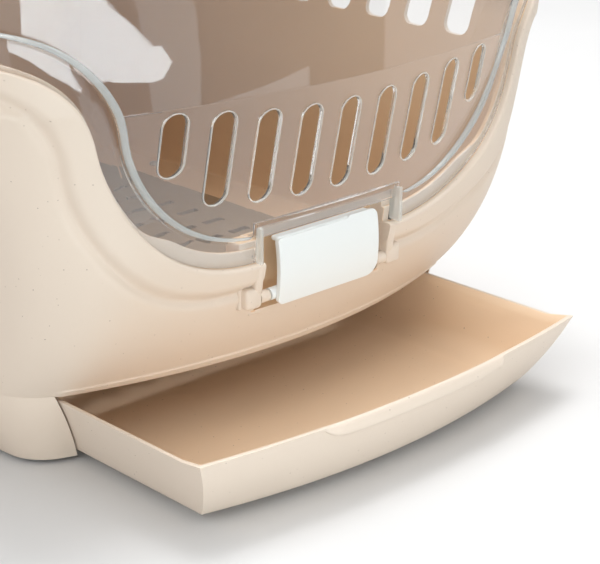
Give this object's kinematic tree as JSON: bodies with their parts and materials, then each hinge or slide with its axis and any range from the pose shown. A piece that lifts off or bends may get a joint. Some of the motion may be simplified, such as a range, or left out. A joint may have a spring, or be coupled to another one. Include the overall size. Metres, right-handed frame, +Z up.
{
  "type": "cat litter box",
  "caption": "Hooded cat litter box with a pull-out drawer, a clear lifting visor with vent slots, a front latch and a folding handle.",
  "frame": {"origin": "middle of the base's underside, on the face of its central rest pad", "axes": "+Z up, the visor and the drawer face -Y, +X to the right seen from the front"},
  "size_m": [0.4462, 0.5756, 0.4396],
  "materials": {
    "shell_plastic": "fine matte, pale beige with sparse dark flecks",
    "clear_plastic": "clear, polished",
    "white_plastic": "satin white",
    "rubber_grey": "matte",
    "pin_steel": "satin",
    "carbon_foam": "open-cell foam"
  },
  "bodies": {
    "body": {"base": "shell_plastic", "feet": "rubber_grey", "shell_screws": "pin_steel", "drawer_bumpers": "rubber_grey", "lower_shell": "shell_plastic", "sieve": "shell_plastic", "latch_pins": "shell_plastic", "visor_pins": "pin_steel", "hood": "shell_plastic", "filter_pad": "carbon_foam", "filter_cover_pins": "white_plastic", "handle_pins": "white_plastic", "clip_pins": "shell_plastic"},
    "drawer": {"drawer": "shell_plastic"},
    "visor": {"visor": "clear_plastic", "entry_ring": "white_plastic"},
    "latch": {"latch": "white_plastic"},
    "handle": {"handle": "white_plastic"},
    "filter_cover": {"filter_cover": "white_plastic"},
    "clip_right": {"clip_right": "white_plastic"},
    "clip_left": {"clip_left": "white_plastic"}
  },
  "joints": [
    {"name": "drawer_slide", "type": "slide", "parent": "body", "child": "drawer", "axis": [0, -1, 0], "range_m": [-0.115, 0.165]},
    {"name": "visor_hinge", "type": "hinge", "parent": "body", "child": "visor", "pos_m": [0, -0.026, 0.431], "axis": [-1, 0, 0], "range_deg": [0, 85]},
    {"name": "latch_hinge", "type": "hinge", "parent": "body", "child": "latch", "pos_m": [0, -0.2424, 0.091], "axis": [1, 0, 0], "range_deg": [0, 65]},
    {"name": "handle_hinge", "type": "hinge", "parent": "body", "child": "handle", "pos_m": [0, 0.06, 0.4326], "axis": [1, 0, 0], "range_deg": [0, 90]},
    {"name": "filter_cover_hinge", "type": "hinge", "parent": "body", "child": "filter_cover", "pos_m": [0, 0.088, 0.4222], "axis": [-1, 0, 0], "range_deg": [0, 80]},
    {"name": "clip_right_hinge", "type": "hinge", "parent": "body", "child": "clip_right", "pos_m": [0.2196, 0.12, 0.22], "axis": [0, 1, 0], "range_deg": [0, 90]},
    {"name": "clip_left_hinge", "type": "hinge", "parent": "body", "child": "clip_left", "pos_m": [-0.2196, 0.12, 0.22], "axis": [0, -1, 0], "range_deg": [0, 90]}
  ]
}
